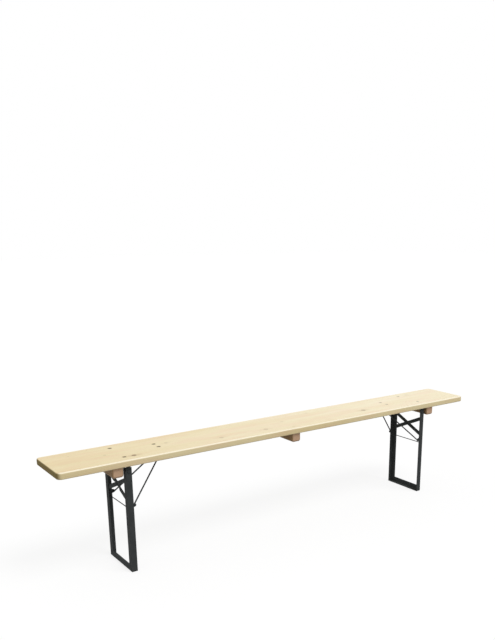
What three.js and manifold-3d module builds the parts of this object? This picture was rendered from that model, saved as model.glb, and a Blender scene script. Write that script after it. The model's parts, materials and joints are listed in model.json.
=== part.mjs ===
// A folding bench of the beer-garden kind: a long softwood board with three cross battens under it,
// on two folding legs welded from steel angle. Each leg is stiffened by two crossed flat bars and held
// open by a V-shaped wire stay, whose nose snaps into a spring catch under the board.
//
// Millimetres, +Z up. The origin is on the floor under the middle of the board, +X runs along the
// board to the right-hand end and -Y is the front. Each leg set is written for the right-hand end,
// with x measured outwards from the middle, and the left-hand set is the same one turned half round.

import * as THREE from 'three';
import { mergeVertices } from 'three/addons/utils/BufferGeometryUtils.js';
import Module from 'manifold-3d';

const wasm = await Module();
wasm.setup();

// Board
const boardLength = 2200;
const boardWidth = 250;
const boardThickness = 27;
const seatHeight = 480;
const boardCornerRadius = 20;
const boardEdgeRadius = 5;

// Cross battens
const battenEndInset = 10;
const battenWidth = 46;
const battenHeight = 40;
const battenEdgeRadius = 9;
const battenEndBevel = 1.2;
const battenToLegGap = 12;
const battenScrewInset = 40;

// Leg frame, welded from equal angle
const legSetback = 274;
const legSideInset = 17;
const legTopGap = 8;
const angleSide = 25;
const angleThickness = 3;
const angleRootRadius = 3;
const angleToeRadius = 1.5;
const weldGap = 0.3;

// Hinge of the leg: a rivet through the angle and the ear of a bracket under the board
const pivotInset = 13;
const pivotDrop = 25;
const pinDiameter = 8;
const pinHeadDiameter = 15;
const pinHeadHeight = 3.5;
const runningGap = 0.3;
const bracketThickness = 3;
const bracketSideGap = 0.9;
const bracketLength = 40;
const bracketWaist = 26;
const bracketPad = 14;
const bracketBendRadius = 4;
const bracketShoulder = 6;
const bracketRootChamfer = 2;
const bracketBoltInset = 36;

// Crossed flat bars between the uprights
const braceWidth = 18;
const braceThickness = 3;
const braceDrop = 103;
const braceRise = 86;
const braceEndInset = 12;
const braceCrankLength = 10;
const braceCrossGap = 2;
const rivetDiameter = 6;
const rivetHeadDiameter = 11;
const rivetHeadHeight = 2.5;
const rivetShoulderShare = 1 / 3;

// Thin tie wire between the uprights
const tieWireDiameter = 4;
const tieWireDrop = 186;
const tieWireInset = 13;

// Wire stay and the lugs that carry it
const stayDiameter = 6;
const stayNoseSetback = 186;
const stayNoseDrop = 13;
const stayNoseWidth = 44;
const stayNoseRadius = 7;
const stayHookRadius = 6;
const stayHookRun = 4.5;
const stayHeadDiameter = 9;
const stayHeadHeight = 3;
const lugDrop = 169;
const lugReach = 5.5;
const lugThickness = 3;
const lugEndRadius = 6.5;
const lugRootHeight = 24;
const lugLap = 11;

// Guide under the board, on which the nose of the stay slides
const guideSheet = 2;
const guideWidth = 20;
const guideEarLength = 24;
const guideEarRadius = 8;
const guideEndMargin = 12;
const guidePlateLength = 28;
const guidePlateWidth = 66;
const guideBoltSpacing = 46;
const stopWidth = 11;
const stopOverlap = 6;
const stopWindow = 17;

// Spring leaf that snaps in front of the nose, pressed up with the thumb to let it go
const leafThickness = 1.2;
const leafWidth = 12;
const leafTail = 9;
const leafReach = 59;
const leafPivotInset = 60;
const leafDrop = 12.5;
const leafRivetDiameter = 4;
const leafRivetHeadDiameter = 6.5;
const leafRivetHeadHeight = 1.6;
const leafRivetCrownShare = 0.5;

// Bolts through the board, with low round heads let into its top and nuts under the sheet metal
const bolt = { shank: 6, head: 14, headHeight: 2.4, crown: 0.9, sink: 0.2, tail: 1.5, tip: 0.8 };
const nut = { across: 10, height: 5, chamfer: 0.6 };

// Wood screws: the battens are held by long countersunk ones, the guides by short ones
const battenScrew = {
  shank: 5, head: 10, headHeight: 3.2, length: 58, tip: 6, flush: 0.6, countersunk: true,
};
const fittingScrew = {
  shank: 4.5, head: 9, headHeight: 2.8, length: 23, tip: 5, flush: 0, countersunk: false,
};
const screwClearance = 0.3;

// How finely round shapes are cut
const overrun = 2;
const arcSteps = 3;
const smallArcSteps = 2;
const cornerSteps = 7;
const wireSides = 10;
const bendSteps = 5;
const roundSides = 16;
const screwSides = 12;
const nutSides = 6;
const leafSteps = 24;

// Places that follow from the sizes above
const underside = seatHeight - boardThickness;
const legFace = boardLength / 2 - legSetback;
const legHalf = boardWidth / 2 - legSideInset;
const pivotX = legFace - pivotInset;
const pivotZ = underside - pivotDrop;
const lugX = legFace - angleSide - lugReach;
const lugZ = underside - lugDrop;
const noseX = legFace - stayNoseSetback;
const noseZ = underside - stayNoseDrop;
const stayLength = Math.hypot(lugX - noseX, noseZ - lugZ);

// With the leg folded the lug has turned a quarter circle about the hinge, and the nose is back
// against the guide at its old height.
const foldedLugX = pivotX - (pivotZ - lugZ);
const foldedLugZ = pivotZ + (pivotX - lugX);
const foldedNoseX = foldedLugX - Math.sqrt(stayLength ** 2 - (foldedLugZ - noseZ) ** 2);

// Colours, as sRGB
const finishes = {
  board: new THREE.MeshStandardMaterial({ color: '#e6d3a6', roughness: 0.45, metalness: 0 }),
  batten: new THREE.MeshStandardMaterial({ color: '#a77c57', roughness: 0.6, metalness: 0 }),
  painted: new THREE.MeshStandardMaterial({ color: '#2b2e2f', roughness: 0.5, metalness: 0.2 }),
  zinc: new THREE.MeshStandardMaterial({ color: '#8b8d8c', roughness: 0.35, metalness: 0.9 }),
  spring: new THREE.MeshStandardMaterial({ color: '#4c4f52', roughness: 0.3, metalness: 0.9 }),
};

const xAxis = new THREE.Vector3(1, 0, 0);
const yAxis = new THREE.Vector3(0, 1, 0);
const zAxis = new THREE.Vector3(0, 0, 1);
const inboard = xAxis.clone().negate();

// Solids and booleans

function toSolid(geometry) {
  const bare = geometry.clone();
  bare.deleteAttribute('normal');
  bare.deleteAttribute('uv');
  const merged = mergeVertices(bare);
  const mesh = new wasm.Mesh({
    numProp: 3,
    vertProperties: new Float32Array(merged.attributes.position.array),
    triVerts: new Uint32Array(merged.index.array),
  });
  return new wasm.Manifold(mesh);
}

function toGeometry(solid) {
  const mesh = solid.getMesh();
  const geometry = new THREE.BufferGeometry();
  const places = new Float32Array(mesh.vertProperties);
  geometry.setAttribute('position', new THREE.BufferAttribute(places, 3));
  geometry.setIndex(new THREE.BufferAttribute(new Uint32Array(mesh.triVerts), 1));
  geometry.computeVertexNormals();
  return geometry;
}

function cut(geometry, ...cutters) {
  return toGeometry(cutters.reduce((solid, cutter) => solid.subtract(toSolid(cutter)), toSolid(geometry)));
}

function join(geometry, ...others) {
  return toGeometry(others.reduce((solid, other) => solid.add(toSolid(other)), toSolid(geometry)));
}

function common(geometry, other) {
  return toGeometry(toSolid(geometry).intersect(toSolid(other)));
}

// Outlines and how they are placed

function outline(points) {
  return new THREE.Shape(points.map(([x, y]) => new THREE.Vector2(x, y)));
}

function arc(x, y, radius, from, to, steps) {
  return Array.from({ length: steps + 1 }, (_, i) => {
    const angle = from + ((to - from) * i) / steps;
    return [x + radius * Math.cos(angle), y + radius * Math.sin(angle)];
  });
}

function roundedRectangle(x0, y0, x1, y1, radius, steps) {
  return outline([
    ...arc(x1 - radius, y0 + radius, radius, -Math.PI / 2, 0, steps),
    ...arc(x1 - radius, y1 - radius, radius, 0, Math.PI / 2, steps),
    ...arc(x0 + radius, y1 - radius, radius, Math.PI / 2, Math.PI, steps),
    ...arc(x0 + radius, y0 + radius, radius, Math.PI, Math.PI * 3 / 2, steps),
  ]);
}

// The outline's own x and y are laid along right and up, and it is pushed out along right x up.
function laid(shape, depth, right, up, x, y, z) {
  const out = new THREE.Vector3().crossVectors(right, up);
  const frame = new THREE.Matrix4().makeBasis(right, up, out).setPosition(x, y, z);
  return new THREE.ExtrudeGeometry(shape, { depth, bevelEnabled: false }).applyMatrix4(frame);
}

// An outline in y and z, pushed along x.
function alongX(shape, low, high) {
  return laid(shape, high - low, yAxis, zAxis, low, 0, 0);
}

// An outline in x and z, pushed along y.
function alongY(shape, low, high) {
  return laid(shape, high - low, xAxis, zAxis, 0, high, 0);
}

// An outline in x and y, pushed along z.
function alongZ(shape, low, high) {
  return laid(shape, high - low, xAxis, yAxis, 0, 0, low);
}

function box(x0, x1, y0, y1, z0, z1) {
  return alongZ(outline([[x0, y0], [x1, y0], [x1, y1], [x0, y1]]), z0, z1);
}

function rodY(diameter, x, z, low, high) {
  const rod = new THREE.CylinderGeometry(diameter / 2, diameter / 2, high - low, roundSides);
  return rod.translate(x, (low + high) / 2, z);
}

function rodX(diameter, y, z, low, high) {
  const rod = new THREE.CylinderGeometry(diameter / 2, diameter / 2, high - low, roundSides);
  return rod.rotateZ(Math.PI / 2).translate((low + high) / 2, y, z);
}

function rodZ(diameter, x, y, low, high) {
  const rod = new THREE.CylinderGeometry(diameter / 2, diameter / 2, high - low, screwSides);
  return rod.rotateX(Math.PI / 2).translate(x, y, (low + high) / 2);
}

// A turned piece: radius and height pairs that start and end on the axis, which is set along z.
function turned(profile, sides) {
  const points = profile.map(([radius, height]) => new THREE.Vector2(radius, height));
  return new THREE.LatheGeometry(points, sides).rotateX(Math.PI / 2);
}

// A bolt that hangs down from the top of the board, with its origin at the board's top surface.
function makeBolt(sheet) {
  const shank = bolt.shank / 2;
  const head = bolt.head / 2;
  const seat = -bolt.sink - bolt.headHeight;
  const rim = -bolt.sink - bolt.crown;
  const end = -boardThickness - sheet - nut.height - bolt.tail;
  const crown = arc(0, 0, 1, 0, Math.PI / 2, smallArcSteps)
    .map(([out, up]) => [head * out, rim + bolt.crown * up]);
  crown[smallArcSteps][0] = 0;
  return turned([
    [0, end],
    [shank - bolt.tip, end],
    [shank, end + bolt.tip],
    [shank, seat],
    [head, seat],
    ...crown,
  ], roundSides);
}

// Its hole: right through the board, with room for the head at the top.
function boltHole() {
  const seat = -bolt.sink - bolt.headHeight;
  return join(
    rodZ(bolt.shank + 2 * screwClearance, 0, 0, -boardThickness - overrun, overrun),
    rodZ(bolt.head + 2 * screwClearance, 0, 0, seat, overrun));
}

// A hexagon nut with its top at the origin and the corners of both ends turned off.
function makeNut() {
  const flat = nut.across / 2;
  const corner = flat / Math.cos(Math.PI / nutSides);
  const hexagon = outline(arc(0, 0, corner, 0, 2 * Math.PI, nutSides).slice(1));
  const ends = turned([
    [0, -nut.height],
    [flat, -nut.height],
    [corner, nut.chamfer - nut.height],
    [corner, -nut.chamfer],
    [flat, 0],
    [0, 0],
  ], screwSides);
  const bore = rodZ(bolt.shank + 2 * screwClearance, 0, 0, -nut.height - overrun, overrun);
  return cut(common(alongZ(hexagon, -nut.height, 0), ends), bore);
}

// A screw driven upwards, head down, with its origin at the middle of the head's seat. The same
// profile, made larger all round, cuts its hole.
function screw(kind, clearance = 0, tail = 0) {
  const head = kind.head / 2 + clearance;
  const shank = kind.shank / 2 + clearance;
  const seat = kind.countersunk ? 0 : -kind.headHeight;
  const taper = kind.countersunk ? kind.headHeight : 0;
  return turned([
    [0, seat - tail],
    [head, seat - tail],
    [head, 0],
    [shank, taper],
    [shank, kind.length - kind.tip],
    [0, kind.length + clearance],
  ], screwSides);
}

// Only the hole that a screw needs, without the room for a head that stands proud.
function screwHole(kind) {
  return kind.countersunk
    ? screw(kind, screwClearance, overrun)
    : rodZ(kind.shank + 2 * screwClearance, 0, 0, -overrun, kind.length + screwClearance);
}

const group = new THREE.Group();

function add(parent, name, geometry, material) {
  const mesh = new THREE.Mesh(geometry, material);
  mesh.name = name;
  parent.add(mesh);
  return mesh;
}

// Where the screws and bolts go, x and y in the bench's own frame

const battenX = legFace + battenToLegGap + battenWidth / 2;
const battens = [['left', -battenX], ['middle', 0], ['right', battenX]];
const battenHalf = boardWidth / 2 - battenEndInset;
const battenScrewY = [battenHalf - battenScrewInset, battenScrewInset - battenHalf];
const bracketFaceY = legHalf - angleThickness - bracketSideGap;
const bracketBoltY = legHalf - bracketBoltInset;
const stopX = noseX + stayDiameter / 2 + runningGap;
const guideInnerX = foldedNoseX - guideEndMargin;
const guideOuterX = stopX + guideSheet;
const guideScrewX = guideInnerX - guideEarLength / 2;
const guideBoltY = guideBoltSpacing / 2;

const battenHoles = battens.flatMap(([, x]) => battenScrewY.map((y) => [x, y]));
const boltHoles = [
  [pivotX, bracketBoltY],
  [pivotX, -bracketBoltY],
  [noseX, guideBoltY],
  [noseX, -guideBoltY],
];

// Board, with its edges rounded all round and blind holes for the screws

function makeBoard() {
  const halfLength = boardLength / 2;
  const halfWidth = boardWidth / 2;
  const shape = roundedRectangle(
    -halfLength, -halfWidth, halfLength, halfWidth, boardCornerRadius, cornerSteps);
  const board = new THREE.ExtrudeGeometry(shape, {
    depth: boardThickness - 2 * boardEdgeRadius,
    bevelThickness: boardEdgeRadius,
    bevelSize: boardEdgeRadius,
    bevelOffset: -boardEdgeRadius,
    bevelSegments: arcSteps,
  }).translate(0, 0, underside + boardEdgeRadius);
  const holes = battenHoles.map(([x, y]) => (
    screwHole(battenScrew).translate(x, y, underside - battenHeight + battenScrew.flush)));
  for (const end of [1, -1]) {
    holes.push(screwHole(fittingScrew).translate(end * guideScrewX, 0, underside - guideSheet));
    for (const [x, y] of boltHoles) {
      holes.push(boltHole().translate(end * x, y, seatHeight));
    }
  }
  return cut(board, ...holes);
}

add(group, 'seat_board', makeBoard(), finishes.board);

// Battens, across the board and a little shorter than it is wide, with their two lower edges rounded

function makeBatten() {
  const length = battenHalf - battenEndBevel;
  const halfWidth = battenWidth / 2;
  const halfHeight = battenHeight / 2;
  const edgeX = halfWidth - battenEdgeRadius;
  const edgeZ = battenEdgeRadius - halfHeight;
  const shape = outline([
    ...arc(edgeX, edgeZ, battenEdgeRadius, -Math.PI / 2, 0, 2 * arcSteps),
    [halfWidth, halfHeight],
    [-halfWidth, halfHeight],
    ...arc(-edgeX, edgeZ, battenEdgeRadius, Math.PI, Math.PI * 3 / 2, 2 * arcSteps),
  ]);
  const bar = new THREE.ExtrudeGeometry(shape, {
    depth: 2 * length,
    bevelThickness: battenEndBevel,
    bevelSize: battenEndBevel,
    bevelOffset: -battenEndBevel,
    bevelSegments: 1,
  });
  bar.translate(0, 0, -length).rotateX(Math.PI / 2);
  const seat = halfHeight - battenScrew.flush;
  return cut(bar, ...battenScrewY.map((y) => screwHole(battenScrew).translate(0, y, -seat)));
}

for (const [side, x] of battens) {
  const batten = add(group, `batten_${side}`, makeBatten(), finishes.batten);
  batten.position.set(x, 0, underside - battenHeight / 2);
  battenScrewY.forEach((y, i) => {
    const one = add(group, `batten_${side}_screw_${i + 1}`, screw(battenScrew), finishes.zinc);
    one.position.set(x, y, underside - battenHeight + battenScrew.flush);
  });
}

// Leg frame: two uprights and a foot bar of equal angle, mitred at the corners. The outline has its
// outer corner at the given place, with one leg along each of the two directions.

function angleOutline(x, y, alongSign, upSign) {
  const toe = angleSide - angleToeRadius;
  const thick = angleThickness - angleToeRadius;
  const root = angleThickness + angleRootRadius;
  return outline([
    [0, 0],
    [angleSide, 0],
    ...arc(toe, thick, angleToeRadius, 0, Math.PI / 2, arcSteps),
    ...arc(root, root, angleRootRadius, Math.PI * 3 / 2, Math.PI, arcSteps),
    ...arc(thick, toe, angleToeRadius, 0, Math.PI / 2, arcSteps),
    [0, angleSide],
  ].map(([a, b]) => [x + alongSign * a, y + upSign * b]));
}

// A wedge that cuts a mitre at a lower corner: everything under the 45 degree line through the
// corner, or everything over it.
function mitreWedge(side, under) {
  const reach = angleSide + overrun;
  const shift = under ? weldGap / 2 : -weldGap / 2;
  const third = under ? [legHalf - reach, -overrun] : [legHalf + overrun, reach];
  const corners = [[legHalf + overrun, -overrun], [legHalf - reach, reach], third];
  const shape = outline(corners.map(([y, z]) => [side * y, z + shift]));
  return alongX(shape, legFace - angleSide - overrun, legFace + overrun);
}

function makeUpright(side) {
  const section = angleOutline(legFace, side * legHalf, -1, -side);
  const bar = alongZ(section, 0, underside - legTopGap);
  const outer = side * (legHalf + overrun);
  const inner = side * (legHalf - angleThickness - overrun);
  const hole = rodY(
    pinDiameter + 2 * runningGap, pivotX, pivotZ, Math.min(inner, outer), Math.max(inner, outer));
  return cut(bar, mitreWedge(side, true), hole);
}

function makeFootBar() {
  const bar = alongY(angleOutline(legFace, 0, -1, 1), -legHalf, legHalf);
  return cut(bar, mitreWedge(1, false), mitreWedge(-1, false));
}

// Crossed bars. Both are welded to the inner face of the uprights' outer flanges; the second one is
// cranked over the first where they cross, and a rivet holds them together there.

const braceX = legFace - angleThickness;
const braceZ = underside - braceDrop;
const braceSpan = 2 * (legHalf - braceEndInset);
const braceAngle = Math.atan2(braceRise, braceSpan);
const braceLength = Math.hypot(braceRise, braceSpan) - braceWidth * Math.sin(braceAngle);

function makeFlatBrace() {
  const along = new THREE.Vector3(0, Math.cos(braceAngle), Math.sin(braceAngle));
  const across = new THREE.Vector3(0, -Math.sin(braceAngle), Math.cos(braceAngle));
  const halfLength = braceLength / 2;
  const halfWidth = braceWidth / 2;
  const shape = outline([
    [-halfLength, -halfWidth],
    [halfLength, -halfWidth],
    [halfLength, halfWidth],
    [-halfLength, halfWidth],
  ]);
  const bar = laid(shape, braceThickness, along, across, braceX - braceThickness, 0, braceZ);
  return cut(bar, braceRivetHole());
}

function makeCrankedBrace() {
  const along = new THREE.Vector3(0, Math.cos(braceAngle), -Math.sin(braceAngle));
  const across = new THREE.Vector3().crossVectors(along, inboard);
  const halfLength = braceLength / 2;
  const crossing = braceWidth / 2 / Math.tan(braceAngle) + braceCrossGap;
  const crankEnd = crossing + braceCrankLength;
  const top = [
    [-halfLength, 0],
    [-crankEnd, 0],
    [-crossing, braceThickness],
    [crossing, braceThickness],
    [crankEnd, 0],
    [halfLength, 0],
  ];
  const under = top.map(([a, b]) => [a, b + braceThickness]).reverse();
  const start = across.clone().multiplyScalar(-braceWidth / 2);
  const bar = laid(outline([...top, ...under]), braceWidth, along, inboard,
    braceX + start.x, start.y, braceZ + start.z);
  return cut(bar, braceRivetHole());
}

function braceRivetHole() {
  const diameter = rivetDiameter + 2 * runningGap;
  return rodX(diameter, 0, braceZ, braceX - 2 * braceThickness - overrun, braceX + overrun);
}

// A rivet along z with a domed head at each end of its grip.
function domedRivet(diameter, headDiameter, headHeight, grip) {
  const head = headDiameter / 2;
  const shoulder = headHeight * rivetShoulderShare;
  const dome = arc(0, 0, 1, 0, Math.PI / 2, smallArcSteps)
    .map(([across, up]) => [head * across, shoulder + (headHeight - shoulder) * up]);
  const top = dome.map(([radius, height]) => [radius, grip / 2 + height]);
  const bottom = dome.map(([radius, height]) => [radius, -grip / 2 - height]).reverse();
  bottom[0][0] = 0;
  top[top.length - 1][0] = 0;
  return turned([
    ...bottom,
    [head, -grip / 2],
    [diameter / 2, -grip / 2],
    [diameter / 2, grip / 2],
    [head, grip / 2],
    ...top,
  ], roundSides);
}

// Hinge bracket: one piece of bent sheet across the board, bolted flat under it, with a round-ended
// ear beside the angle at each end. Between the bolts it is waisted.

function makeBracket() {
  const face = bracketFaceY;
  const bottom = pivotZ - pivotInset;
  const bendY = face - bracketBendRadius;
  const bendZ = underside - bracketBendRadius;
  const insideBend = bracketBendRadius - bracketThickness;
  const section = outline([
    [face, bottom],
    ...arc(bendY, bendZ, bracketBendRadius, 0, Math.PI / 2, arcSteps),
    ...arc(-bendY, bendZ, bracketBendRadius, Math.PI / 2, Math.PI, arcSteps),
    [-face, bottom],
    [bracketThickness - face, bottom],
    ...arc(-bendY, bendZ, insideBend, Math.PI, Math.PI / 2, arcSteps),
    ...arc(bendY, bendZ, insideBend, Math.PI / 2, 0, arcSteps),
    [face - bracketThickness, bottom],
  ]);
  const halfLength = bracketLength / 2;
  const bar = alongX(section, pivotX - halfLength, pivotX + halfLength);

  const earRadius = pivotInset - angleThickness - angleRootRadius / 2;
  const shoulderZ = underside - bracketShoulder;
  const elevation = outline([
    ...arc(pivotX, pivotZ, earRadius, -Math.PI, 0, 2 * bendSteps),
    [pivotX + earRadius, shoulderZ - bracketRootChamfer],
    [pivotX + earRadius + bracketRootChamfer, shoulderZ],
    [pivotX + halfLength, shoulderZ],
    [pivotX + halfLength, underside],
    [pivotX - halfLength, underside],
    [pivotX - halfLength, shoulderZ],
    [pivotX - earRadius - bracketRootChamfer, shoulderZ],
    [pivotX - earRadius, shoulderZ - bracketRootChamfer],
  ]);

  const halfWaist = bracketWaist / 2;
  const padY = bracketBoltY - bracketPad;
  const waistY = padY - (halfLength - halfWaist);
  const edge = [[halfLength, face], [halfLength, padY], [halfWaist, waistY]];
  const flank = [...edge, ...edge.map(([x, y]) => [x, -y]).reverse()];
  const plan = outline([
    ...flank.map(([x, y]) => [pivotX + x, y]),
    ...flank.map(([x, y]) => [pivotX - x, y]).reverse(),
  ].reverse());

  const shaped = common(common(bar, alongY(elevation, -face, face)), alongZ(plan, bottom, underside));
  const hole = rodY(pinDiameter + 2 * runningGap, pivotX, pivotZ, -face - overrun, face + overrun);
  const bores = [bracketBoltY, -bracketBoltY].map((y) => (
    rodZ(bolt.shank + 2 * screwClearance, pivotX, y, pivotZ, underside + overrun)));
  return cut(shaped, hole, ...bores);
}

// Lugs: plates lapped on the inside of the uprights' side flanges, with a round end for the stay

function makeLug(side) {
  const rootX = legFace - angleSide + lugLap;
  const halfRoot = lugRootHeight / 2;
  const lean = Math.atan2(halfRoot - lugEndRadius, rootX - lugX);
  const shape = outline([
    ...arc(lugX, lugZ, lugEndRadius, Math.PI / 2 + lean, Math.PI * 3 / 2 - lean, bendSteps),
    [rootX, lugZ - halfRoot],
    [rootX, lugZ + halfRoot],
  ]);
  const outer = side * (legHalf - angleThickness);
  const inner = side * (legHalf - angleThickness - lugThickness);
  const low = Math.min(inner, outer);
  const high = Math.max(inner, outer);
  const hole = rodY(stayDiameter + 2 * runningGap, lugX, lugZ, low - overrun, high + overrun);
  return cut(alongY(shape, low, high), hole);
}

// Bent wire. Each corner of the route becomes an arc, and stations are set only at its ends and
// round its arcs, so straight runs stay straight and take no extra faces.

class BentWire extends THREE.Curve {
  constructor(stations) {
    super();
    this.stations = stations;
  }

  getPoint(t, target = new THREE.Vector3()) {
    const place = this.stations[Math.round(t * (this.stations.length - 1))];
    return target.copy(place.point);
  }

  getPointAt(t, target) {
    return this.getPoint(t, target);
  }

  getTangentAt(t, target = new THREE.Vector3()) {
    const place = this.stations[Math.round(t * (this.stations.length - 1))];
    return target.copy(place.tangent);
  }
}

function wireStations(corners) {
  const last = corners.length - 1;
  const stations = [];
  corners.forEach(({ point, radius }, i) => {
    const into = point.clone().sub(corners[Math.max(i - 1, 0)].point).normalize();
    const out = corners[Math.min(i + 1, last)].point.clone().sub(point).normalize();
    if (i === 0 || i === last) {
      stations.push({ point, tangent: i === 0 ? out : into });
      return;
    }
    const turn = into.angleTo(out);
    const reach = radius / Math.cos(turn / 2);
    const middle = out.clone().sub(into).normalize().multiplyScalar(reach).add(point);
    const spoke = into.clone().multiplyScalar(-radius * Math.tan(turn / 2)).add(point).sub(middle);
    const hub = new THREE.Vector3().crossVectors(into, out).normalize();
    for (let step = 0; step <= bendSteps; step += 1) {
      const angle = (turn * step) / bendSteps;
      stations.push({
        point: spoke.clone().applyAxisAngle(hub, angle).add(middle),
        tangent: into.clone().applyAxisAngle(hub, angle),
      });
    }
  });
  return stations;
}

function makeStay() {
  const towards = new THREE.Vector3(noseX - lugX, 0, noseZ - lugZ).normalize();
  const place = (run, y) => new THREE.Vector3(lugX, y, lugZ).addScaledVector(towards, run);
  const flangeInside = legHalf - angleThickness;
  const tip = flangeInside + runningGap + stayHeadHeight;
  const arm = flangeInside - lugThickness - stayHookRun;
  const half = [
    { point: place(0, tip) },
    { point: place(0, arm), radius: stayHookRadius },
    { point: place(stayLength, stayNoseWidth / 2), radius: stayNoseRadius },
  ];
  const mirrored = half.map(({ point, radius }) => (
    { point: new THREE.Vector3(point.x, -point.y, point.z), radius })).reverse();
  const stations = wireStations([...half, ...mirrored]);
  const section = outline(arc(0, 0, stayDiameter / 2, 0, 2 * Math.PI, wireSides).slice(1));
  const wire = new THREE.ExtrudeGeometry(section, {
    steps: stations.length - 1,
    extrudePath: new BentWire(stations),
  });
  const heads = [1, -1].map((side) => {
    const ends = [side * (flangeInside + runningGap), side * tip];
    return rodY(stayHeadDiameter, lugX, lugZ, Math.min(...ends), Math.max(...ends));
  });
  return join(wire, ...heads);
}

// Guide: a narrow channel that is open below, with a cross plate for two bolts at its outer end and a
// flat ear for a screw at the other. By the bolts a tab, cut free on three sides, is bent down and
// stops the nose of the stay

function makeGuide() {
  const half = guideWidth / 2;
  const web = underside - guideSheet;
  const edge = noseZ + stayDiameter / 2 + runningGap;
  const section = outline([
    [-half, underside], [-half, edge], [-half + guideSheet, edge], [-half + guideSheet, web],
    [half - guideSheet, web], [half - guideSheet, edge], [half, edge], [half, underside],
  ]);
  const channel = alongX(section, guideInnerX, guideOuterX);
  const ear = alongZ(
    roundedRectangle(guideInnerX - guideEarLength, -half, guideOuterX, half, guideEarRadius, arcSteps),
    web, underside);
  const halfLength = guidePlateLength / 2;
  const halfWidth = guidePlateWidth / 2;
  const plate = alongZ(
    roundedRectangle(noseX - halfLength, -halfWidth, noseX + halfLength, halfWidth,
      guideEarRadius, arcSteps),
    web, underside);
  const stop = box(stopX, guideOuterX, -stopWidth / 2, stopWidth / 2, noseZ - stopOverlap, underside);
  const windowHalf = stopWidth / 2 + runningGap;
  const window = box(
    stopX - stopWindow, stopX, -windowHalf, windowHalf, web - overrun, underside + overrun);
  const leafHole = rodZ(
    leafRivetDiameter + 2 * runningGap, leafPivotX, 0, web - overrun, underside + overrun);
  const screwBore = rodZ(
    fittingScrew.shank + 2 * screwClearance, guideScrewX, 0, web - overrun, underside + overrun);
  const boltBores = [guideBoltY, -guideBoltY].map((y) => (
    rodZ(bolt.shank + 2 * screwClearance, noseX, y, web - overrun, underside + overrun)));
  return cut(join(channel, ear, plate, stop), window, leafHole, screwBore, ...boltBores);
}

// Spring leaf: a strip that leaves the guide at its rivet, bows down into a thumb pad, rises again
// and ends in a hump just in front of the nose. The table gives the run along the strip and how far
// it lies below its root, as shares of its reach and of its drop.

const leafPivotX = noseX - leafPivotInset;
const leafTop = underside - guideSheet - runningGap;
const leafShares = [
  [0, 0], [0.055, 0.004], [0.12, 0.13], [0.21, 0.55], [0.29, 0.87], [0.38, 1], [0.47, 0.97],
  [0.57, 0.78], [0.67, 0.56], [0.76, 0.48], [0.84, 0.54], [0.905, 0.61], [0.955, 0.5], [1, 0.36],
];

function makeLeaf() {
  const middle = leafTop - leafThickness / 2;
  const centre = new THREE.SplineCurve([
    new THREE.Vector2(leafPivotX - leafTail, middle),
    ...leafShares.map(([run, drop]) => (
      new THREE.Vector2(leafPivotX + run * leafReach, middle - drop * leafDrop))),
  ]);
  const upper = [];
  const lower = [];
  for (let i = 0; i <= leafSteps; i += 1) {
    const point = centre.getPoint(i / leafSteps);
    const tangent = centre.getTangent(i / leafSteps);
    const x = (-tangent.y * leafThickness) / 2;
    const z = (tangent.x * leafThickness) / 2;
    upper.push([point.x + x, point.y + z]);
    lower.push([point.x - x, point.y - z]);
  }
  const strip = alongY(outline([...upper, ...lower.reverse()]), -leafWidth / 2, leafWidth / 2);
  const hole = rodZ(
    leafRivetDiameter + 2 * runningGap, leafPivotX, 0, leafTop - leafDrop / 2, leafTop + overrun);
  return cut(strip, hole);
}

// The rivet turns with the leaf as it flexes, so it stays clear of the board above it.
function makeLeafRivet() {
  const shank = leafRivetDiameter / 2;
  const head = leafRivetHeadDiameter / 2;
  const seat = -leafThickness - runningGap;
  return turned([
    [0, seat - leafRivetHeadHeight],
    [head * leafRivetCrownShare, seat - leafRivetHeadHeight],
    [head, seat],
    [shank, seat],
    [shank, guideSheet],
    [0, guideSheet],
  ], screwSides);
}

// A bolt with its nut, through the board and a sheet of the given thickness under it.

function addBolt(set, name, place, x, y, sheet) {
  add(set, `${name}_bolt_${place}`, makeBolt(sheet), finishes.zinc).position.set(x, y, seatHeight);
  add(set, `${name}_nut_${place}`, makeNut(), finishes.zinc).position.set(x, y, underside - sheet);
}

// One leg set. Everything in it is written for the right-hand end.

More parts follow.
